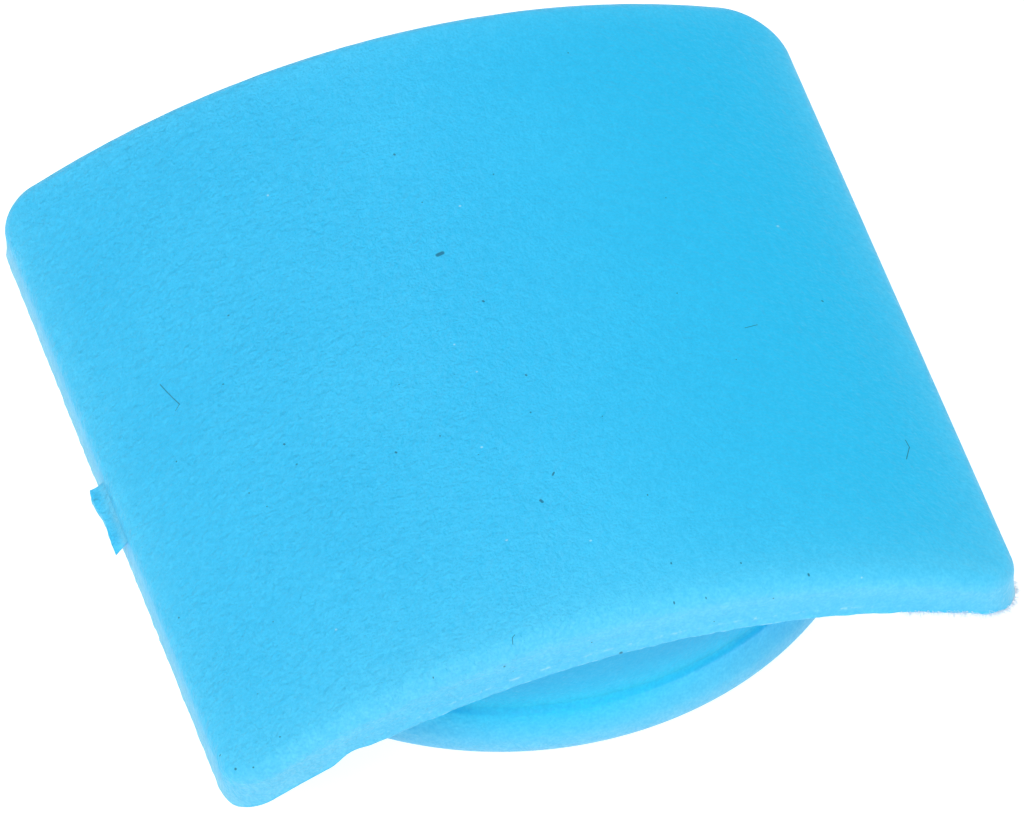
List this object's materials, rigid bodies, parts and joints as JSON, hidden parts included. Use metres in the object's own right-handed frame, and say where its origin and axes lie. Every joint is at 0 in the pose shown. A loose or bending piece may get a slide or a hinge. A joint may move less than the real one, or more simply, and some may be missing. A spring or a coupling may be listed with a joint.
{
  "type": "snap-in cap",
  "caption": "Soft light-blue snap-in cap: a square, saddle-curved head with round corners on a hollow round neck with a retaining lip at its foot.",
  "frame": {"origin": "centre of the foot ring, on the plane that the cap stands on", "axes": "+Z out of the head's convex face, away from the foot; Y along the head's two straight sides; X across its curve, with the moulding gate on the -X side"},
  "size_m": [0.0163, 0.016, 0.0054],
  "materials": {
    "grained_face": "matt, with a fine moulded grain",
    "smooth_plug": "smooth satin"
  },
  "bodies": {
    "root": {"head_plate": "grained_face", "neck_wall": "smooth_plug", "retaining_lip": "smooth_plug", "gate_stub": "grained_face"}
  },
  "joints": []
}
